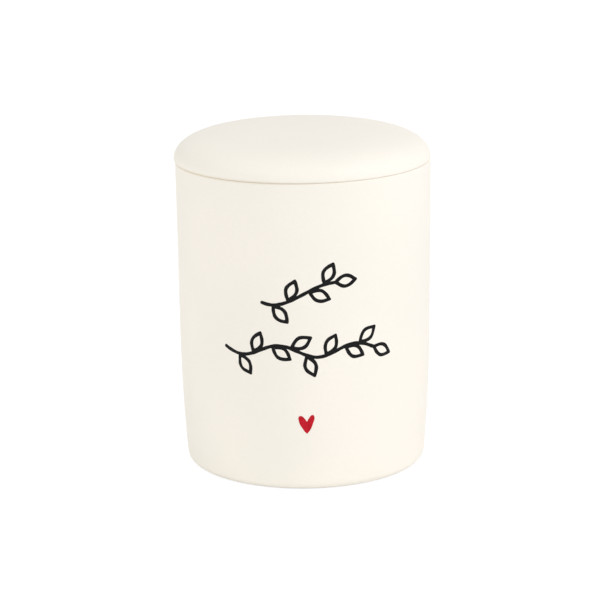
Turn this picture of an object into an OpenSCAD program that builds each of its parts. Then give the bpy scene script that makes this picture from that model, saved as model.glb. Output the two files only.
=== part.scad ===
// Cotton pad holder: a round glazed ceramic jar with a domed lid that lifts off.
// The lid's flange carries a silicone sealing ring, and the jar's front has a fired print.
// Millimetres, Z up. The origin is the centre of the foot, and the print faces -Y.

/* [Jar] */
// Outer diameter at the rim
jar_d = 90; // [80:1:120]
// Height from the table to the rim
jar_h = 109; // [95:1:160]
// Thickness of the wall
wall_t = 4; // [3:0.25:6]
// Thickness of the floor above the table
floor_t = 5.5; // [4.5:0.25:9]
// Fall of the outer radius from the rim to the base, from the straight draft
draft = 0.8; // [0:0.1:2]
// Further fall of the outer radius, where the wall draws in above the base
draw_in = 1.8; // [0:0.1:4]
// Height over which the wall draws in
draw_h = 44; // [20:1:60]
// Radius of the outer corner at the base
base_corner_r = 3; // [2:0.25:6]
// Radius of the inner corner at the floor
floor_corner_r = 9; // [4:0.5:14]
// Radius of the rim's outer and inner edges
rim_edge_r = 0.4; // [0.3:0.1:1.2]
// Depth of the straight mouth that takes the lid's flange
mouth_h = 18; // [14:1:24]

/* [Foot] */
// Width of the unglazed ring that the jar stands on
foot_w = 4; // [2:0.25:8]
// Depth of the recess inside the foot ring
foot_depth = 1.2; // [0.5:0.1:2]

/* [Lid] */
// How far the lid's edge stands outside the jar's rim
lid_overhang = 0.2; // [0:0.1:2]
// Height of the lid's top above the rim
lid_h = 10.4; // [8:0.2:20]
// Thickness of the lid in the middle
lid_t = 4.5; // [3:0.25:6]
// Height of the lid's widest line above the rim
lid_edge_h = 0.7; // [0.5:0.1:2]
// How flat the dome is in the middle, from round to flat
dome_flatness = 5; // [2:0.1:7]
// How full the dome's shoulder is
dome_fullness = 2; // [1.6:0.1:3]
// How far the flange reaches into the jar
flange_h = 12; // [9:0.5:13]
// Thickness of the flange
flange_t = 4; // [3:0.25:5]
// Gap between the flange and the mouth, which the ring's lips close
flange_gap = 1.6; // [1.2:0.1:2.5]

/* [Seal] */
// Height of the sealing ring
seal_h = 5; // [4:0.25:6]
// Depth of the groove that holds the ring
groove_d = 1.2; // [0.8:0.1:1.6]
// Distance from the lid's seat down to the groove
groove_drop = 2.8; // [2:0.2:3]
// Thickness of each of the ring's lips
lip_t = 0.8; // [0.5:0.1:1]
// How far each lip bends down towards its edge
lip_droop = 0.5; // [0:0.1:0.7]
// Clearance of the ring in its groove
seal_play = 0.05; // [0.02:0.01:0.1]
// Clearance of the lips in the mouth
lip_clear = 0.1; // [0.05:0.01:0.2]

/* [Print] */
// Width of the print's drawn lines
line_w = 1.25; // [0.8:0.05:1.5]
// Thickness of the fired print
print_t = 0.25; // [0.15:0.05:0.4]
// Length of the sprigs' leaves
leaf_l = 8.5; // [7:0.5:10]
// Width of the sprigs' leaves
leaf_w = 5; // [4:0.25:5.5]
// Angle at which the leaves leave their stems
leaf_spread = 48; // [30:1:70]
// Height of the upper sprig's middle above the table
upper_z = 71; // [66:1:80]
// Distance of the sprigs' stems to the right of the jar's middle
sprig_x = -2.5; // [-4:0.5:2]
// Width of the upper sprig's stem
upper_w = 25; // [20:1:34]
// Rise of the upper sprig's stem from its foot to its tip
upper_rise = 7; // [0:0.5:12]
// Number of leaves along the upper sprig's sides
upper_leaves = 4; // [2:1:5]
// Height of the lower sprig's middle above the table
lower_z = 50.5; // [44:1:54]
// Width of the lower sprig's stem
lower_w = 54; // [40:1:60]
// Height of the lower sprig's waves, from trough to crest
lower_wave = 4; // [0:0.5:6]
// Number of leaves along the lower sprig's sides
lower_leaves = 8; // [4:1:10]
// Height of the heart's tip above the table
heart_z = 20.9; // [16:0.1:26]
// Distance of the heart to the right of the jar's middle
heart_x = 0.3; // [-2:0.1:2]
// Width of the heart
heart_w = 5.8; // [4:0.2:8]
// Height of the heart
heart_h = 7; // [5:0.2:9]

/* [Hidden] */
$fn = 96;
wall_steps = 6;
corner_steps = 8;
edge_steps = 4;
dome_steps = 36;
curve_steps = 14;
wave_steps = 20;
lower_waves = 2;
leaf_steps = 9;

rim_r = jar_d / 2;
bore_r = rim_r - wall_t;
corner_a = atan(2 * draw_in * (draw_h - base_corner_r) / pow(draw_h, 2) + draft / jar_h);
corner_z = base_corner_r * (1 - sin(corner_a));
foot_r = wall_r(corner_z) - base_corner_r * cos(corner_a);
recess_r = foot_r - foot_w;
lid_r = rim_r + lid_overhang;
flange_r = bore_r - flange_gap;
flange_in_r = flange_r - flange_t;
groove_r = flange_r - groove_d;
groove_h = seal_h + 2 * seal_play;
ceiling_h = lid_h - lid_t;

glaze = [0.95, 0.93, 0.88];
silicone = [0.88, 0.88, 0.86];
ink = [0.08, 0.08, 0.09];
red = [0.75, 0.08, 0.14];

// Points of an arc about c, from angle a to angle b.
function arc(c, r, a, b, steps) =
    [for (i = [0:steps]) let (t = a + (b - a) * i / steps) c + r * [cos(t), sin(t)]];

function reversed(list) = [for (i = [len(list) - 1:-1:0]) list[i]];

// Outer radius of the jar's wall at height z.
function wall_r(z) =
    let (low = max(0, draw_h - z) / draw_h)
    rim_r - draft * (jar_h - z) / jar_h - draw_in * low * low;

// The wall's outside from the foot up to the rim, moved out by g.
function outer_wall(g) = [for (p = concat(
    arc([foot_r, base_corner_r], base_corner_r, -90, -corner_a, corner_steps),
    [for (i = [1:wall_steps])
        let (z = corner_z + (draw_h - corner_z) * i / wall_steps) [wall_r(z), z]],
    arc([rim_r - rim_edge_r, jar_h - rim_edge_r], rim_edge_r, 0, 90, edge_steps)
)) p + [g, 0]];

// The wall's inside from the rim down to the floor.
function inner_wall() =
    let (low_z = floor_t + floor_corner_r, low_r = wall_r(low_z) - wall_t)
    concat(
        arc([bore_r + rim_edge_r, jar_h - rim_edge_r], rim_edge_r, 90, 180, edge_steps),
        [[bore_r, jar_h - mouth_h]],
        arc([low_r - floor_corner_r, low_z], floor_corner_r, 0, -90, corner_steps)
    );

// A dome of radius r and rise h above height z, from its edge to its middle.
function dome(r, h, z) = [for (i = [0:dome_steps]) let (t = 90 * i / dome_steps) [
    i == dome_steps ? 0 : r * pow(cos(t), 2 / dome_flatness),
    z + h * pow(sin(t), 2 / dome_fullness)
]];

// The flange and its groove, from the foot of its inner wall round to the lid's seat.
function flange() =
    let (r = flange_t / 4, z = r - flange_h, low_z = -groove_drop - groove_h)
    concat(
        arc([flange_in_r + r, z], r, 180, 270, edge_steps),
        arc([flange_r - r, z], r, 270, 360, edge_steps),
        [[flange_r, low_z], [groove_r, low_z], [groove_r, -groove_drop], [flange_r, -groove_drop]],
        [[flange_r, 0]]
    );

module jar() {
    color(glaze)
    rotate_extrude()
    polygon(concat(
        [[0, foot_depth], [recess_r - foot_depth / 2, foot_depth], [recess_r + foot_depth / 2, 0]],
        outer_wall(0),
        inner_wall(),
        [[0, floor_t]]
    ));
}

module lid() {
    color(glaze)
    translate([0, 0, jar_h])
    rotate_extrude()
    polygon(concat(
        arc([lid_r - lid_edge_h, lid_edge_h], lid_edge_h, -90, -90 / edge_steps, edge_steps - 1),
        dome(lid_r, lid_h - lid_edge_h, lid_edge_h),
        reversed(dome(flange_in_r, ceiling_h, 0)),
        flange()
    ));
}

module seal_ring() {
    in_r = groove_r + seal_play;
    band_r = flange_r + lip_t / 2;
    lip_r = bore_r - lip_clear;
    pitch = (seal_h - lip_t) / 2;
    color(silicone)
    translate([0, 0, jar_h - groove_drop - seal_play - seal_h])
    rotate_extrude()
    polygon(concat(
        [[in_r, 0], [band_r, 0]],
        [for (z = [pitch, 2 * pitch]) each [
            [band_r, z], [lip_r, z - lip_droop], [lip_r, z - lip_droop + lip_t / 2], [band_r, z + lip_t]
        ]],
        [[in_r, seal_h]]
    ));
}

// Lays a flat drawing, whose x runs along the wall, round the jar's front.
function wrapped(points) =
    [for (p = points) [wall_r(p.y) * sin(p.x / rim_r * 180 / PI), p.y]];

// Turns points by angle a and moves them to p.
function placed(points, p, a) =
    [for (q = points) p + [q.x * cos(a) - q.y * sin(a), q.x * sin(a) + q.y * cos(a)]];

function bezier(c, t) =
    let (u = 1 - t)
    u * u * u * c[0] + 3 * u * u * t * c[1] + 3 * u * t * t * c[2] + t * t * t * c[3];

function curve(c) = [for (i = [0:curve_steps]) bezier(c, i / curve_steps)];

function heading(v) = atan2(v.y, v.x);

// Heading of a path at its point i.
function path_heading(path, i) =
    heading(path[min(i + 1, len(path) - 1)] - path[max(i - 1, 0)]);

// Outline of a drawn line with round ends.
function pen_line(path) =
    let (r = line_w / 2, n = len(path) - 1, a = path_heading(path, 0), b = path_heading(path, n))
    concat(
        [for (i = [1:n - 1]) let (t = path_heading(path, i) - 90) path[i] + r * [cos(t), sin(t)]],
        arc(path[n], r, b - 90, b + 90, edge_steps),
        [for (i = [n - 1:-1:1]) let (t = path_heading(path, i) + 90) path[i] + r * [cos(t), sin(t)]],
        arc(path[0], r, a + 90, a + 270, edge_steps)
    );

// Outline of a leaf that points along x, from x = start to x = end.
function leaf_outline(start, end, w) =
    let (side = [for (i = [0:leaf_steps])
        [start + (end - start) * i / leaf_steps, w / 2 * sin(180 * i / leaf_steps)]])
    concat(side, [for (i = [leaf_steps - 1:-1:1]) [side[i].x, -side[i].y]]);

// A leaf drawn as a closed line, from point p at angle a.
module leaf(p, a) {
    tip_l = line_w / sin(atan(PI / 2 * leaf_w / leaf_l));
    difference() {
        polygon(wrapped(placed(leaf_outline(0, leaf_l, leaf_w), p, a)));
        polygon(wrapped(placed(leaf_outline(tip_l, leaf_l - tip_l, leaf_w - 2 * line_w), p, a)));
    }
}

// A stem with count leaves on its two sides in turn, and one at its tip.
module sprig(path, count) {
    last = len(path) - 1;
    polygon(wrapped(pen_line(path)));
    leaf(path[last], path_heading(path, last));
    for (k = [1:count]) {
        i = round(last * (k - 0.25) / (count + 0.5));
        leaf(path[i], path_heading(path, i) + (k % 2 == 0 ? leaf_spread : -leaf_spread));
    }
}

// The layer that a flat drawing fills on the jar's wall, facing -Y.
module fired() {
    intersection() {
        rotate_extrude()
        polygon(concat(outer_wall(print_t), reversed(outer_wall(0))));
        rotate([90, 0, 0])
        linear_extrude(height = rim_r + print_t)
        children();
    }
}

module upper_sprig() {
    stem = curve([
        [-upper_w / 2, -upper_rise / 2], [-upper_w / 6, -upper_rise],
        [upper_w / 6, upper_rise / 2], [upper_w / 2, upper_rise / 2]
    ]);
    color(ink)
    fired()
    sprig(placed(stem, [sprig_x, upper_z], 0), upper_leaves);
}

module lower_sprig() {
    steps = wave_steps * lower_waves;
    color(ink)
    fired()
    sprig([for (i = [0:steps]) [
        sprig_x + lower_w * (i / steps - 0.5),
        lower_z - lower_wave / 2 * sin(360 * i / wave_steps)
    ]], lower_leaves);
}

// One side of the heart, from the notch over the lobe to the tip, with w as its width.
function heart_side(w, h) = concat(
    curve([[0, 0.62 * heart_h], [0.2 * w, 0.85 * h], [0.45 * w, h], [0.72 * w, h]]),
    curve([[0.72 * w, h], [1.25 * w, h], [0.95 * w, 0.45 * h], [0, 0]])
);

// A heart drawn by hand: its left lobe is the wider and lower one.
module heart() {
    left = heart_side(-0.54 * heart_w, 0.94 * heart_h);
    right = heart_side(0.46 * heart_w, heart_h);
    color(red)
    fired()
    polygon(wrapped(placed(concat(left, reversed(right)), [heart_x, heart_z], 0)));
}

jar();
lid();
seal_ring();
upper_sprig();
lower_sprig();
heart();
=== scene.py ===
"""The cotton pad holder's looks: its turned pieces in full detail, their glaze and the fired print."""

import math

import bpy
import numpy as np
from mathutils import Matrix, Vector


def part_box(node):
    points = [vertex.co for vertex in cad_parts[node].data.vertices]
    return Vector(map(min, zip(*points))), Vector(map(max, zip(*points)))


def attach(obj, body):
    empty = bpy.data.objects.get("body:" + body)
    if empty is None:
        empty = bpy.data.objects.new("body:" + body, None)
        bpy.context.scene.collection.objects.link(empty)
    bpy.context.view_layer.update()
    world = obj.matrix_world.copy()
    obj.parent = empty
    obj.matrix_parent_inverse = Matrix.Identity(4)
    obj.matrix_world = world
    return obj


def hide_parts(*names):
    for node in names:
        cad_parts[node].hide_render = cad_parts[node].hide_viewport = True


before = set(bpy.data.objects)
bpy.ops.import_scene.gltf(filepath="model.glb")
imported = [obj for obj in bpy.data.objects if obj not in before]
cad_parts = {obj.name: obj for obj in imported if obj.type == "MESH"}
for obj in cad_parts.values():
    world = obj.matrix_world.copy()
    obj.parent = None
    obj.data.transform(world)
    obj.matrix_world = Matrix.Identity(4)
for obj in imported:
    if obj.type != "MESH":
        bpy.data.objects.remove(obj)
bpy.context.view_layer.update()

# One millimetre in the scene's metres
MM = 0.001

# Sizes that the frame gives
JAR_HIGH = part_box("jar")[1]
LID_LOW, LID_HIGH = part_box("lid")
SEAL_LOW, SEAL_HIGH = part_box("seal_ring")
RIM_R = JAR_HIGH.x
RIM_H = JAR_HIGH.z
LID_R = LID_HIGH.x
LID_RISE = LID_HIGH.z - RIM_H
FLANGE_BOTTOM = LID_LOW.z
LIP_R = SEAL_HIGH.x
SEAL_BOTTOM = SEAL_LOW.z
SEAL_TOP = SEAL_HIGH.z

# The jar's own sizes
WALL_T = 4 * MM
FLOOR_T = 5.5 * MM
DRAFT = 0.8 * MM
DRAW_IN = 1.8 * MM
DRAW_H = 44 * MM
BASE_CORNER_R = 3 * MM
FLOOR_CORNER_R = 9 * MM
RIM_EDGE_R = 0.4 * MM
MOUTH_H = 18 * MM
FOOT_W = 4 * MM
FOOT_DEPTH = 1.2 * MM
FOOT_EDGE_R = 0.5 * MM
BORE_R = RIM_R - WALL_T

# The lid's own sizes. Its dome stands LID_LEAN beside its flange, a shift that fades over LEAN_H.
LID_T = 4.5 * MM
LID_EDGE_H = 0.7 * MM
LID_EDGE_END = -8
LID_LEAN = -0.28 * MM
LEAN_H = 3 * MM
DOME_FLATNESS = 5
DOME_FULLNESS = 2
FLANGE_GAP = 1.6 * MM
FLANGE_T = 4 * MM
FLANGE_EDGE_R = 1 * MM
GROOVE_D = 1.2 * MM
GROOVE_DROP = 2.8 * MM
GROOVE_EDGE_R = 0.25 * MM
SEAT_FILLET_R = 0.5 * MM
FLANGE_R = BORE_R - FLANGE_GAP
GROOVE_R = FLANGE_R - GROOVE_D

# The seal's own sizes
SEAL_PLAY = 0.05 * MM
LIP_T = 0.8 * MM
LIP_DROOP = 0.5 * MM
LIP_ROUND = 80
BAND_OUT = 0.4 * MM

# The print, drawn flat: x runs along the wall and y is the height
LINE_W = 1.25 * MM
LINE_WOBBLE = 0.035 * MM
ENAMEL_T = 0.09 * MM
ENAMEL_EDGE = 0.3 * MM
ENAMEL_ROOT = 0.04 * MM
LEAF_L = 8.5 * MM
LEAF_W = 5 * MM
LEAF_TIP_R = 0.5 * MM
LEAF_SPREAD = 48
STEM_END = 0.75
SPRIG_X = -2.5 * MM
UPPER_Z = 71 * MM
UPPER_W = 25 * MM
UPPER_RISE = 7 * MM
UPPER_LEAVES = 4
LOWER_Z = 50.5 * MM
LOWER_W = 54 * MM
LOWER_WAVE = 4 * MM
LOWER_WAVES = 2
LOWER_LEAVES = 8
HEART_X = 0.3 * MM
HEART_Z = 20.9 * MM
HEART_W = 5.8 * MM
HEART_H = 7 * MM
HEART_NOTCH_H = 0.62 * HEART_H
HEART_LEFT_W = 0.54 * HEART_W
HEART_LEFT_H = 0.94 * HEART_H
DRAWING_GRID = 0.12 * MM
DRAWING_MARGIN = 2 * MM

# Unevenness of the pottery: an oval and a weaker three-sided wave, which turn as they rise
UNEVENNESS = 0.03 * MM
OVAL_TURN = 9
THREE_SIDED = 0.6
THREE_SIDED_TURN = 14
THREE_SIDED_START = 1

# The mesh's fineness
SEGMENTS = 192
SHARP_ANGLE = math.radians(40)
RING_STEP = 1.5 * MM
WALL_POINTS = 72
DOME_STEPS = 56
CURVE_STEPS = 14
WAVE_STEPS = 20
LEAF_POINTS = 31
ON_AXIS_R = 1e-9


# Outlines of the turned pieces, as (radius, height) points that keep the solid on their left

def arc(centre, radius, start, end, steps):
    """Points of an arc about centre, from one angle in degrees to another."""
    angles = np.radians(np.linspace(start, end, steps + 1))
    return [(centre[0] + radius * math.cos(a), centre[1] + radius * math.sin(a)) for a in angles]


def filled_in(points):
    """The same outline with points added wherever two of them are more than RING_STEP apart."""
    result = [points[0]]
    for a, b in zip(points, points[1:]):
        count = max(1, math.ceil(math.dist(a, b) / RING_STEP))
        result += [tuple(np.array(a) + (np.array(b) - np.array(a)) * i / count) for i in range(1, count + 1)]
    return result


def wall_r(z):
    """Outer radius of the jar's wall at height z."""
    low = max(0, DRAW_H - z) / DRAW_H
    return RIM_R - DRAFT * (RIM_H - z) / RIM_H - DRAW_IN * low * low


def dome(radius, rise, base):
    """A dome's outline from its edge to its middle."""
    angles = [math.pi / 2 * i / DOME_STEPS for i in range(DOME_STEPS)]
    points = [(radius * math.cos(t) ** (2 / DOME_FLATNESS), base + rise * math.sin(t) ** (2 / DOME_FULLNESS))
              for t in angles]
    return points + [(0, base + rise)]


def jar_outline():
    """From the middle of the underside, round the outside and the rim, to the middle of the floor."""
    slope = 2 * DRAW_IN * (DRAW_H - BASE_CORNER_R) / DRAW_H**2 + DRAFT / RIM_H
    corner_a = math.degrees(math.atan(slope))
    corner_z = BASE_CORNER_R * (1 - math.sin(math.radians(corner_a)))
    foot_r = wall_r(corner_z) - BASE_CORNER_R * math.cos(math.radians(corner_a))
    recess_r = foot_r - FOOT_W
    floor_z = FLOOR_T + FLOOR_CORNER_R
    low_r = wall_r(floor_z) - WALL_T
    rim_z = RIM_H - RIM_EDGE_R
    heights = np.linspace(corner_z, rim_z, WALL_POINTS)[1:-1]
    return filled_in(
        [(0, FOOT_DEPTH)]
        + arc((recess_r - FOOT_EDGE_R, FOOT_DEPTH - FOOT_EDGE_R), FOOT_EDGE_R, 90, 0, steps=5)
        + arc((recess_r + FOOT_EDGE_R, FOOT_EDGE_R), FOOT_EDGE_R, 180, 270, steps=5)
        + arc((foot_r, BASE_CORNER_R), BASE_CORNER_R, -90, -corner_a, steps=14)
        + [(wall_r(z), z) for z in heights]
        + arc((RIM_R - RIM_EDGE_R, rim_z), RIM_EDGE_R, 0, 90, steps=6)
        + arc((BORE_R + RIM_EDGE_R, rim_z), RIM_EDGE_R, 90, 180, steps=6)
        + [(BORE_R, RIM_H - MOUTH_H)]
        + arc((low_r - FLOOR_CORNER_R, floor_z), FLOOR_CORNER_R, 0, -90, steps=14)
        + [(0, FLOOR_T)]
    )


def lid_outline():
    """From the middle of the ceiling, round the flange and the seat, to the middle of the dome."""
    inner_r = FLANGE_R - FLANGE_T
    ceiling = dome(inner_r, LID_RISE - LID_T, RIM_H)[::-1]
    groove_top = RIM_H - GROOVE_DROP
    groove_bottom = SEAL_BOTTOM - SEAL_PLAY
    groove_edge_r = FLANGE_R - GROOVE_EDGE_R
    flange_z = FLANGE_BOTTOM + FLANGE_EDGE_R
    return filled_in(
        ceiling
        + arc((inner_r + FLANGE_EDGE_R, flange_z), FLANGE_EDGE_R, 180, 270, steps=6)
        + arc((FLANGE_R - FLANGE_EDGE_R, flange_z), FLANGE_EDGE_R, 270, 360, steps=6)
        + arc((groove_edge_r, groove_bottom - GROOVE_EDGE_R), GROOVE_EDGE_R, 0, 90, steps=3)
        + [(GROOVE_R, groove_bottom), (GROOVE_R, groove_top)]
        + arc((groove_edge_r, groove_top + GROOVE_EDGE_R), GROOVE_EDGE_R, -90, 0, steps=3)
        + arc((FLANGE_R + SEAT_FILLET_R, RIM_H - SEAT_FILLET_R), SEAT_FILLET_R, 180, 90, steps=4)
        + arc((LID_R - LID_EDGE_H, RIM_H + LID_EDGE_H), LID_EDGE_H, -90, LID_EDGE_END, steps=8)
        + dome(LID_R, LID_RISE - LID_EDGE_H, RIM_H + LID_EDGE_H)
    )


def seal_outline():
    """A closed outline: a flat band in the groove, with two soft lips that droop outside it."""
    inner_r = GROOVE_R + SEAL_PLAY
    band_r = FLANGE_R + BAND_OUT
    pitch = (SEAL_TOP - SEAL_BOTTOM - LIP_T) / 2
    tip_r = LIP_T / 4
    points = [(inner_r, SEAL_BOTTOM), (band_r, SEAL_BOTTOM)]
    for root in (SEAL_BOTTOM + pitch, SEAL_BOTTOM + 2 * pitch):
        points += [(band_r, root)]
        points += arc((LIP_R - tip_r, root - LIP_DROOP + tip_r), tip_r, -LIP_ROUND, LIP_ROUND, steps=6)
        points += [(band_r, root + LIP_T)]
    return filled_in(points + [(inner_r, SEAL_TOP), (inner_r, SEAL_BOTTOM)])[:-1]


# Places on the turned pieces

def round_place(angle, radius, z):
    """A point of a true turned shape; angle 0 faces the front."""
    return radius * math.sin(angle), -radius * math.cos(angle), z


def wavy_radius(angle, radius, z):
    """The radius with the slight unevenness that pottery has after its firing."""
    oval = math.sin(2 * angle + OVAL_TURN * z / RIM_H)
    three_sided = math.sin(3 * angle - THREE_SIDED_TURN * z / RIM_H + THREE_SIDED_START)
    return radius * (1 + UNEVENNESS / RIM_R * (oval + THREE_SIDED * three_sided))


def jar_place(angle, radius, z):
    """A point of the jar, which is slightly uneven."""
    return round_place(angle, wavy_radius(angle, radius, z), z)


def lid_place(angle, radius, z):
    """A point of the lid, whose dome isn't quite concentric with its flange."""
    x, y, z = jar_place(angle, radius, z)
    return x + LID_LEAN * min(1, max(0, 1 - (RIM_H - z) / LEAN_H)), y, z


def on_wall(x, y, lift):
    """The point of the jar's front at x along the wall and height y, lifted off it."""
    angle = x / RIM_R
    return round_place(angle, wavy_radius(angle, wall_r(y), y) + lift, y)


def along_wall(x):
    """The length along the wall from the middle of the front to the point that is x to its right."""
    return math.asin(max(-1, min(1, x / RIM_R))) * RIM_R


# Meshes

def shown(name, mesh_data, body, material, node):
    """A smooth mesh object that rides on a body and stands for a CAD node."""
    vertices, faces = mesh_data
    mesh = bpy.data.meshes.new(name)
    mesh.from_pydata(vertices, [], faces)
    mesh.shade_smooth()
    mesh.set_sharp_from_angle(angle=SHARP_ANGLE)
    mesh.materials.append(material)
    piece = bpy.data.objects.new(name, mesh)
    bpy.context.scene.collection.objects.link(piece)
    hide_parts(node)
    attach(piece, body)
    return piece


def turned(outline, place=round_place, is_loop=False):
    """Vertices and faces of an outline turned about Z."""
    vertices = []
    rings = []
    for radius, z in outline:
        start = len(vertices)
        if radius < ON_AXIS_R:
            vertices.append((0, 0, z))
            rings.append([start] * SEGMENTS)
            continue
        vertices += [place(math.tau * k / SEGMENTS, radius, z) for k in range(SEGMENTS)]
        rings.append(list(range(start, start + SEGMENTS)))
    pairs = list(zip(rings, rings[1:]))
    if is_loop:
        pairs.append((rings[-1], rings[0]))
    faces = []
    for low, high in pairs:
        for k in range(SEGMENTS):
            n = (k + 1) % SEGMENTS
            faces.append(tuple(dict.fromkeys((low[k], low[n], high[n], high[k]))))
    return vertices, faces


# The print: distances to its drawn lines on a flat grid, then a thin layer of enamel where they are negative

def bezier(controls):
    """Points of a cubic curve with four control points."""
    t = np.linspace(0, 1, CURVE_STEPS + 1)[:, None]
    u = 1 - t
    a, b, c, d = np.array(controls)
    return u**3 * a + 3 * u * u * t * b + 3 * u * t * t * c + t**3 * d


def distance_to(points, path):
    """Distance from each point to an open path."""
    best = np.full(points.shape[:-1], np.inf)
    for a, b in zip(path, path[1:]):
        along = b - a
        t = np.clip((points - a) @ along / (along @ along), 0, 1)
        best = np.minimum(best, np.linalg.norm(points - a - t[..., None] * along, axis=-1))
    return best


def inside_of(points, outline):
    """Whether each point is inside a closed outline, by counting the sides that a ray from it crosses."""
    inside = np.zeros(points.shape[:-1], bool)
    for a, b in zip(outline, outline[1:]):
        crosses = (a[1] > points[..., 1]) != (b[1] > points[..., 1])
        with np.errstate(divide="ignore", invalid="ignore"):
            x = a[0] + (points[..., 1] - a[1]) * (b[0] - a[0]) / (b[1] - a[1])
        inside ^= crosses & (points[..., 0] < x)
    return inside


def leaf_distance(points, base, angle):
    """Signed distance to a leaf that is drawn as a closed line, with softened tips."""
    cosine, sine = math.cos(angle), math.sin(angle)
    local = (points - base) @ np.array([[cosine, -sine], [sine, cosine]])
    length = LEAF_L - 2 * LEAF_TIP_R
    width = LEAF_W - 2 * LEAF_TIP_R
    x = np.linspace(0, length, LEAF_POINTS)
    side = np.stack([x + LEAF_TIP_R, width / 2 * np.sin(np.pi * x / length)], -1)
    rim = distance_to(local, np.concatenate([side, side[::-1] * [1, -1]]))
    along = local[..., 0] - LEAF_TIP_R
    inside = (along > 0) & (along < length)
    inside &= np.abs(local[..., 1]) < width / 2 * np.sin(np.pi * np.clip(along / length, 0, 1))
    outer = np.where(inside, -rim, rim) - LEAF_TIP_R
    return np.abs(outer + LINE_W / 2) - LINE_W / 2


def sprig_distance(points, path, leaves):
    """Signed distance to a stem with leaves on its two sides in turn, and one at its tip.

    The first and last side leaves are STEM_END of the leaves' spacing from the stem's ends.
    """
    last = len(path) - 1
    spots = [(last, 0)]
    for k in range(leaves):
        turn = LEAF_SPREAD if k % 2 else -LEAF_SPREAD
        nearest = int(last * (k + STEM_END) / (leaves - 1 + 2 * STEM_END) + 0.5)
        spots.append((nearest, math.radians(turn)))
    best = distance_to(points, path) - LINE_W / 2
    for i, turn in spots:
        heading = path[min(i + 1, last)] - path[max(i - 1, 0)]
        best = np.minimum(best, leaf_distance(points, path[i], math.atan2(heading[1], heading[0]) + turn))
    return best


def upper_sprig_distance(points):
    """Signed distance to the upper sprig, whose stem rises in one sweep."""
    w, rise = UPPER_W, UPPER_RISE
    stem = bezier([(-w / 2, -rise / 2), (-w / 6, -rise), (w / 6, rise / 2), (w / 2, rise / 2)])
    return sprig_distance(points, stem + [SPRIG_X, UPPER_Z], UPPER_LEAVES)


def lower_sprig_distance(points):
    """Signed distance to the lower sprig, whose stem runs in waves."""
    steps = WAVE_STEPS * LOWER_WAVES
    u = np.arange(steps + 1) / steps
    x = SPRIG_X + LOWER_W * (u - 0.5)
    z = LOWER_Z - LOWER_WAVE / 2 * np.sin(math.tau * LOWER_WAVES * u)
    return sprig_distance(points, np.stack([x, z], -1), LOWER_LEAVES)


def heart_side(w, h):
    """One side of the heart, of width w and height h, from the notch over the lobe to the tip."""
    crown = (0.72 * w, h)
    lobe = bezier([(0, HEART_NOTCH_H), (0.2 * w, 0.85 * h), (0.45 * w, h), crown])
    flank = bezier([crown, (1.25 * w, h), (0.95 * w, 0.45 * h), (0, 0)])
    return np.concatenate([lobe, flank[1:]])


def heart_distance(points):
    """Signed distance to the filled heart, whose left lobe is the wider and lower one."""
    left = heart_side(-HEART_LEFT_W, HEART_LEFT_H)
    right = heart_side(HEART_W - HEART_LEFT_W, HEART_H)
    outline = np.concatenate([left, right[::-1][1:]]) + [HEART_X, HEART_Z]
    rim = distance_to(points, outline)
    return np.where(inside_of(points, outline), -rim, rim)


def line_wobble(points):
    """A slow unevenness of a drawn line's edge: two slanting waves, in radians for each millimetre."""
    x, y = points[..., 0] / MM, points[..., 1] / MM
    return LINE_WOBBLE * (np.sin(1.3 * x + 0.7 * y) + np.sin(2.1 * y - 0.9 * x + 2))


def enamel(distance, low, high):
    """Vertices and faces of a thin layer with round edges, where distance is negative between two corners."""
    xs = np.arange(low[0], high[0], DRAWING_GRID)
    ys = np.arange(low[1], high[1], DRAWING_GRID)
    points = np.stack(np.meshgrid(xs, ys, indexing="ij"), -1)
    signed = distance(points) + line_wobble(points)
    vertices = []
    faces = []
    top = {}
    root = {}

    def grid_vertex(key, layer, lift):
        """The vertex of a layer over a filled grid point."""
        if key not in layer:
            layer[key] = len(vertices)
            vertices.append(on_wall(*points[key], lift))
        return layer[key]

    def edge_vertex(a, b):
        """The vertex on the wall where the drawing ends between two grid points."""
        key = (a, b) if a < b else (b, a)
        if key not in top:
            a, b = key
            point = points[a] + (points[b] - points[a]) * signed[a] / (signed[a] - signed[b])
            top[key] = len(vertices)
            vertices.append(on_wall(*point, 0))
        return top[key]

    filled = signed < 0
    cells = filled[:-1, :-1] | filled[1:, :-1] | filled[1:, 1:] | filled[:-1, 1:]
    for i, j in np.argwhere(cells).tolist():
        corners = [(i, j), (i + 1, j), (i + 1, j + 1), (i, j + 1)]
        upper = []
        under = []
        for a, b in zip(corners, corners[1:] + corners[:1]):
            if filled[a]:
                depth = min(1, -signed[a] / ENAMEL_EDGE)
                rise = math.sqrt(1 - (1 - depth) ** 2)
                upper.append(grid_vertex(a, top, ENAMEL_T * rise))
                under.append(grid_vertex(a, root, -ENAMEL_ROOT * rise))
            if filled[a] != filled[b]:
                crossing = edge_vertex(a, b)
                upper.append(crossing)
                under.append(crossing)
        faces.append(upper)
        faces.append(under[::-1])
    return vertices, faces


def printed(name, distance, material, node):
    """One drawing of the print, in the space of its CAD node."""
    low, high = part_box(node)
    near = along_wall(low.x) - DRAWING_MARGIN, low.z - DRAWING_MARGIN
    far = along_wall(high.x) + DRAWING_MARGIN, high.z + DRAWING_MARGIN
    return shown(name, enamel(distance, near, far), "jar", material, node)


# Nodes of the materials

def linear(r, g, b):
    """An sRGB colour, from 0 to 255, as linear light."""
    channels = [c / 255 for c in (r, g, b)]
    return [c / 12.92 if c < 0.04045 else ((c + 0.055) / 1.055) ** 2.4 for c in channels] + [1.0]


def material_tree(name):
    """A new material, its node tree and its shader."""
    material = bpy.data.materials.new(name)
    material.use_nodes = True
    tree = material.node_tree
    return material, tree, tree.nodes["Principled BSDF"]


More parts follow.
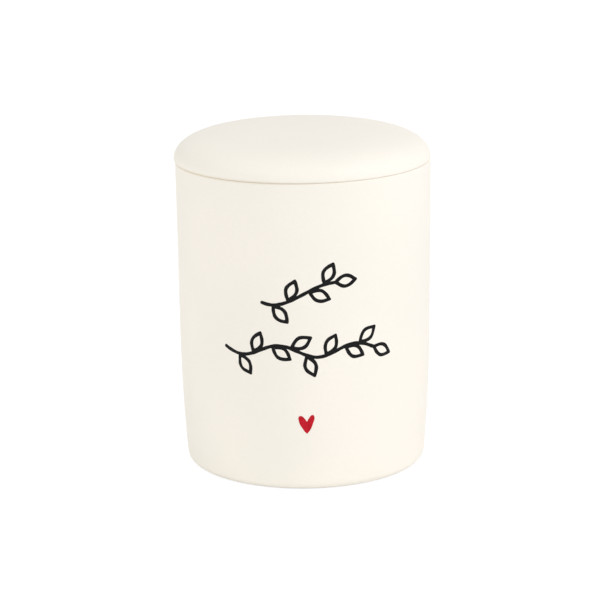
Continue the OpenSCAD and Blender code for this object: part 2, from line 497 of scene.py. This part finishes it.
def set_inputs(tree, node, inputs):
    """Sets a node's inputs to values, or links them to sockets."""
    for key, value in inputs.items():
        if isinstance(value, bpy.types.NodeSocket):
            tree.links.new(value, node.inputs[key])
        else:
            node.inputs[key].default_value = value


def add_node(tree, kind, inputs=None, **settings):
    """A new node with its settings and its inputs."""
    node = tree.nodes.new(kind)
    for key, value in settings.items():
        setattr(node, key, value)
    set_inputs(tree, node, inputs or {})
    return node


def calculated(tree, operation, *values):
    """The result of one operation on values or sockets."""
    return add_node(tree, "ShaderNodeMath", dict(enumerate(values)), operation=operation).outputs[0]


def product(tree, a, b):
    """a times b."""
    return calculated(tree, "MULTIPLY", a, b)


def distance_from(tree, value, level):
    """How far a value is from a level, on either side."""
    return calculated(tree, "ABSOLUTE", calculated(tree, "SUBTRACT", value, level))


def position(tree):
    """The point's place in the row frame, in metres."""
    return add_node(tree, "ShaderNodeTexCoord").outputs["Object"]


def remap(tree, value, low, high, to_low=0.0, to_high=1.0):
    """value mapped smoothly from one range to another."""
    inputs = {"Value": value, "From Min": low, "From Max": high, "To Min": to_low, "To Max": to_high}
    return add_node(tree, "ShaderNodeMapRange", inputs, interpolation_type="SMOOTHSTEP").outputs["Result"]


def noise(tree, size, detail=3, roughness=0.5, seed=(0, 0, 0)):
    """Noise from 0 to 1 whose blotches are about size metres across."""
    shift = add_node(tree, "ShaderNodeVectorMath", {0: position(tree), 1: seed}, operation="ADD")
    inputs = {"Vector": shift.outputs[0], "Scale": 1 / size, "Detail": detail, "Roughness": roughness}
    return add_node(tree, "ShaderNodeTexNoise", inputs).outputs["Fac"]


def patchy(tree, pattern, low=0.0, high=1.0, spread=0.4):
    """A noise whose middle part, spread wide, is stretched to reach from low to high."""
    return remap(tree, pattern, 0.5 - spread / 2, 0.5 + spread / 2, low, high)


def mixed(tree, factor, a, b):
    """A colour between a and b."""
    return add_node(tree, "ShaderNodeMix", {0: factor, 6: a, 7: b}, data_type="RGBA").outputs[2]


def bumped(tree, height, depth, normal=None):
    """A normal for a height from 0 to 1 that stands for depth metres."""
    inputs = {"Height": height, "Distance": depth, "Strength": 1.0}
    if normal is not None:
        inputs["Normal"] = normal
    return add_node(tree, "ShaderNodeBump", inputs).outputs["Normal"]


# The glaze, and the clay that it leaves bare at the foot and at the flange's lower edge

GLAZE_COOL = linear(246, 241, 230)
GLAZE_WARM = linear(249, 243, 232)
GLAZE_DEEP = linear(242, 236, 224)
GLAZE_ROUGH = (0.46, 0.54)
GLAZE_SPECULAR = 0.15
GLAZE_MOTTLE = 0.3
# The seam's tint towards the clay: partly real thin glaze at its edges, partly painted shade, heaviest on the
# left and none at the right
SEAM_THIN_AND_SHADE_LEFT = 0.55
SEAM_THIN_AND_SHADE_FLAT = 0.2
SEAM_THIN_AND_SHADE_FROM = 0.1 * MM
SEAM_THIN_AND_SHADE_TO = 0.9 * MM
RIM_THIN_FROM = 0.3 * MM
RIM_THIN_TO = 1.1 * MM
CLAY_DARK = linear(205, 193, 170)
CLAY_LIGHT = linear(226, 214, 192)
CLAY_ROUGH = 0.85
BARE_FOOT_H = 0 * MM
BARE_FLANGE_H = 1.4 * MM
BARE_RAGGED_H = 0.4 * MM
BARE_FADE_H = 0.15 * MM


def glaze_colour(tree):
    """Cream in wide clouds, with a fine mottle of a deeper cream."""
    cloud = patchy(tree, noise(tree, size=45 * MM, detail=1), spread=0.3)
    mottle = patchy(tree, noise(tree, size=0.7 * MM, roughness=0.6, seed=(3, 1, 7)), high=GLAZE_MOTTLE)
    return mixed(tree, mottle, mixed(tree, cloud, GLAZE_COOL, GLAZE_WARM), GLAZE_DEEP)


def near_rim_edge(tree):
    """1 at the two edges of the jar's rim, and less on the flat between them."""
    across = add_node(tree, "ShaderNodeVectorMath", {0: position(tree), 1: (1, 1, 0)}, operation="MULTIPLY")
    radius = add_node(tree, "ShaderNodeVectorMath", {0: across.outputs[0]}, operation="LENGTH")
    from_middle = distance_from(tree, radius.outputs["Value"], RIM_R - WALL_T / 2)
    flat = WALL_T / 2 - RIM_THIN_TO
    edge = WALL_T / 2 - RIM_THIN_FROM
    return remap(tree, from_middle, flat, edge, SEAM_THIN_AND_SHADE_FLAT, 1.0)


def seam_thinning_and_shade(tree, axes):
    """How much the seam is tinted towards the clay: real thin glaze on the edges at the seam, plus painted
    shade that makes the tint heaviest on the left, away from the key light, and nil at the right.
    """
    near_seam = remap(tree, distance_from(tree, axes["Z"], RIM_H), SEAM_THIN_AND_SHADE_FROM, SEAM_THIN_AND_SHADE_TO, 1.0, 0.0)
    # Painted shade: the tint falls from the left side to nothing at the lit right side
    shade_to_left = remap(tree, axes["X"], -RIM_R, RIM_R, SEAM_THIN_AND_SHADE_LEFT, 0.0)
    return product(tree, product(tree, near_seam, shade_to_left), near_rim_edge(tree))


def bare_clay(tree, height, bare_top):
    """1 on the clay below a slightly ragged line just above bare_top, and 0 on the glaze."""
    ragged = product(tree, noise(tree, size=5 * MM, seed=(5, 5, 5)), BARE_RAGGED_H)
    return remap(tree, calculated(tree, "SUBTRACT", height, ragged), bare_top, bare_top - BARE_FADE_H)


def glaze_material(name, bare_top):
    """Cream satin glaze that thins at the seam, with painted shade in the seam that is heaviest on the left,
    and is wiped off the clay up to about the height bare_top.
    """
    material, tree, shader = material_tree(name)
    axes = add_node(tree, "ShaderNodeSeparateXYZ", {0: position(tree)}).outputs
    # The seam is mixed towards the light clay colour, as thin glaze and as painted shade
    glaze = mixed(tree, seam_thinning_and_shade(tree, axes), glaze_colour(tree), CLAY_LIGHT)
    satin = patchy(tree, noise(tree, size=14 * MM, detail=1, seed=(2, 9, 4)), *GLAZE_ROUGH)
    grain = noise(tree, size=0.35 * MM, detail=4, roughness=0.7)
    clay = mixed(tree, grain, CLAY_DARK, CLAY_LIGHT)
    bare = bare_clay(tree, axes["Z"], bare_top)
    ripple = bumped(tree, noise(tree, size=11 * MM, detail=0), depth=0.02 * MM)
    peel = bumped(tree, noise(tree, size=1.2 * MM, detail=1), depth=0.003 * MM, normal=ripple)
    tooth = bumped(tree, product(tree, grain, bare), depth=0.04 * MM, normal=peel)
    set_inputs(tree, shader, {
        "Base Color": mixed(tree, bare, glaze, clay),
        "Roughness": add_node(tree, "ShaderNodeMix", {0: bare, 2: satin, 3: CLAY_ROUGH}).outputs[0],
        "Normal": tooth,
        "Specular IOR Level": GLAZE_SPECULAR,
    })
    return material


# The print's enamel, darker and lighter in its depth, and the seal's silicone

BLACK_DARK = linear(9, 9, 10)
BLACK_LIGHT = linear(18, 17, 19)
RED_DARK = linear(182, 14, 32)
RED_LIGHT = linear(198, 24, 42)
ENAMEL_ROUGH = (0.28, 0.42)
ENAMEL_SPECULAR = 0.14
SILICONE_DARK = linear(241, 238, 230)
SILICONE_LIGHT = linear(248, 245, 238)
SILICONE_ROUGH = (0.42, 0.55)
SILICONE_CLARITY = 0.12
SILICONE_IOR = 1.41


def enamel_material(name, dark, light):
    """Fired enamel: glossy, a little uneven in depth of colour."""
    material, tree, shader = material_tree(name)
    depth = patchy(tree, noise(tree, size=1.6 * MM, roughness=0.6), spread=0.3)
    set_inputs(tree, shader, {
        "Base Color": mixed(tree, depth, dark, light),
        "Roughness": patchy(tree, noise(tree, size=0.8 * MM, detail=2, seed=(1, 2, 3)), *ENAMEL_ROUGH),
        "Normal": bumped(tree, noise(tree, size=0.5 * MM, detail=2), depth=0.006 * MM),
        "Specular IOR Level": ENAMEL_SPECULAR,
    })
    return material


def silicone_material(name):
    """Milky silicone with a soft sheen."""
    material, tree, shader = material_tree(name)
    set_inputs(tree, shader, {
        "Base Color": mixed(tree, noise(tree, size=8 * MM), SILICONE_DARK, SILICONE_LIGHT),
        "Roughness": patchy(tree, noise(tree, size=2 * MM, seed=(4, 4, 1)), *SILICONE_ROUGH),
        "Normal": bumped(tree, noise(tree, size=0.4 * MM), depth=0.006 * MM),
        "Transmission Weight": SILICONE_CLARITY,
        "IOR": SILICONE_IOR,
    })
    return material


# The pieces

jar_glaze = glaze_material("jar_glaze", BARE_FOOT_H)
lid_glaze = glaze_material("lid_glaze", FLANGE_BOTTOM + BARE_FLANGE_H)
silicone = silicone_material("silicone")
black_enamel = enamel_material("black_enamel", BLACK_DARK, BLACK_LIGHT)
red_enamel = enamel_material("red_enamel", RED_DARK, RED_LIGHT)

shown("jar_glazed", turned(jar_outline(), jar_place), "jar", jar_glaze, "jar")
shown("lid_glazed", turned(lid_outline(), lid_place), "lid", lid_glaze, "lid")
shown("seal_soft", turned(seal_outline(), is_loop=True), "lid", silicone, "seal_ring")
printed("upper_sprig_enamel", upper_sprig_distance, black_enamel, "upper_sprig")
printed("lower_sprig_enamel", lower_sprig_distance, black_enamel, "lower_sprig")
printed("heart_enamel", heart_distance, red_enamel, "heart")


# The floor, the light and the camera, in metres and degrees, and the lens and its sensor in millimetres

AIM = Vector((-1.62 * MM, 0, 57.26 * MM))
CAMERA_DISTANCE = 0.9
CAMERA_ELEVATION = 14.5
CAMERA_ROLL = -0.7
CAMERA_LENS = 151.13
CAMERA_SENSOR_W = 36
CAMERA_CLIP = 0.01
WHITE = (1, 1, 1)
COOL = (0.935, 0.945, 1)
AMBIENT = 0.66
BOX_DISTANCE = 1.5
BOX_SIZE = 0.8
FLOOR_GREY = linear(250, 250, 250)
FLOOR_SEEN_GREY = linear(130, 130, 130)
FLOOR_LIFT = 0.865
FLOOR_ROUGH = 0.9
FLOOR_REACH = 3.0
FLOOR_DROP = 0.02 * MM


def seen_directly(tree):
    """1 where a ray sees the backdrop straight, mirrored or through something, 0 where it only lights."""
    path = add_node(tree, "ShaderNodeLightPath").outputs
    seen_or_mirrored = calculated(tree, "MAXIMUM", path["Is Camera Ray"], path["Is Glossy Ray"])
    return calculated(tree, "MAXIMUM", seen_or_mirrored, path["Is Transmission Ray"])


def make_world():
    """A white world that is seen at full strength and lights at AMBIENT."""
    world = bpy.data.worlds.new("studio")
    bpy.context.scene.world = world
    world.use_nodes = True
    tree = world.node_tree
    strength = add_node(tree, "ShaderNodeMix", {0: seen_directly(tree), 2: AMBIENT, 3: 1.0}).outputs[0]
    set_inputs(tree, tree.nodes["Background"], {"Color": (*WHITE, 1), "Strength": strength})


def floor_material():
    """White that lights as a white floor does, and is seen as white apart from a faint shadow."""
    material, tree, shader = material_tree("floor_white")
    seen = seen_directly(tree)
    set_inputs(tree, shader, {
        "Base Color": mixed(tree, seen, FLOOR_GREY, FLOOR_SEEN_GREY),
        "Emission Strength": product(tree, seen, FLOOR_LIFT),
        "Emission Color": (*WHITE, 1),
        "Roughness": FLOOR_ROUGH,
        "Specular IOR Level": 0.0,
    })
    return material


def make_floor():
    """A square floor, just under the foot."""
    mesh = bpy.data.meshes.new("floor")
    r = FLOOR_REACH
    z = -FLOOR_DROP
    mesh.from_pydata([(-r, -r, z), (r, -r, z), (r, r, z), (-r, r, z)], [], [(0, 1, 2, 3)])
    mesh.materials.append(floor_material())
    floor = bpy.data.objects.new("floor", mesh)
    bpy.context.scene.collection.objects.link(floor)


def make_softbox(name, azimuth, elevation, power, colour=WHITE):
    """A square softbox that faces the object; azimuth 0 is in front of it and 90 to its right."""
    data = bpy.data.lights.new(name, "AREA")
    data.size = BOX_SIZE
    data.energy = power
    data.color = colour
    lamp = bpy.data.objects.new(name, data)
    turn = math.radians(azimuth)
    tilt = math.radians(elevation)
    out = Vector((math.sin(turn) * math.cos(tilt), -math.cos(turn) * math.cos(tilt), math.sin(tilt)))
    lamp.location = AIM + BOX_DISTANCE * out
    lamp.rotation_euler = out.to_track_quat("Z", "Y").to_euler()
    bpy.context.scene.collection.objects.link(lamp)


def make_camera():
    """A camera in front of the object that looks down at AIM."""
    tilt = math.radians(CAMERA_ELEVATION)
    right = Vector((1, 0, 0))
    up = Vector((0, math.sin(tilt), math.cos(tilt)))
    back = Vector((0, -math.cos(tilt), math.sin(tilt)))
    turn = Matrix((right, up, back)).transposed().to_4x4()
    roll = Matrix.Rotation(math.radians(CAMERA_ROLL), 4, "Z")
    data = bpy.data.cameras.new("camera")
    data.lens = CAMERA_LENS
    data.sensor_width = CAMERA_SENSOR_W
    data.clip_start = CAMERA_CLIP
    camera = bpy.data.objects.new("camera", data)
    camera.matrix_world = Matrix.Translation(AIM + CAMERA_DISTANCE * back) @ turn @ roll
    bpy.context.scene.collection.objects.link(camera)
    bpy.context.scene.camera = camera


make_world()
make_floor()
make_softbox("key", azimuth=60, elevation=45, power=8.7, colour=COOL)
make_softbox("front", azimuth=0, elevation=10, power=1.9)
make_softbox("left_front", azimuth=-60, elevation=10, power=1.6)
make_softbox("left", azimuth=-90, elevation=10, power=2.8)
make_camera()

bpy.context.scene.view_settings.view_transform = "Standard"
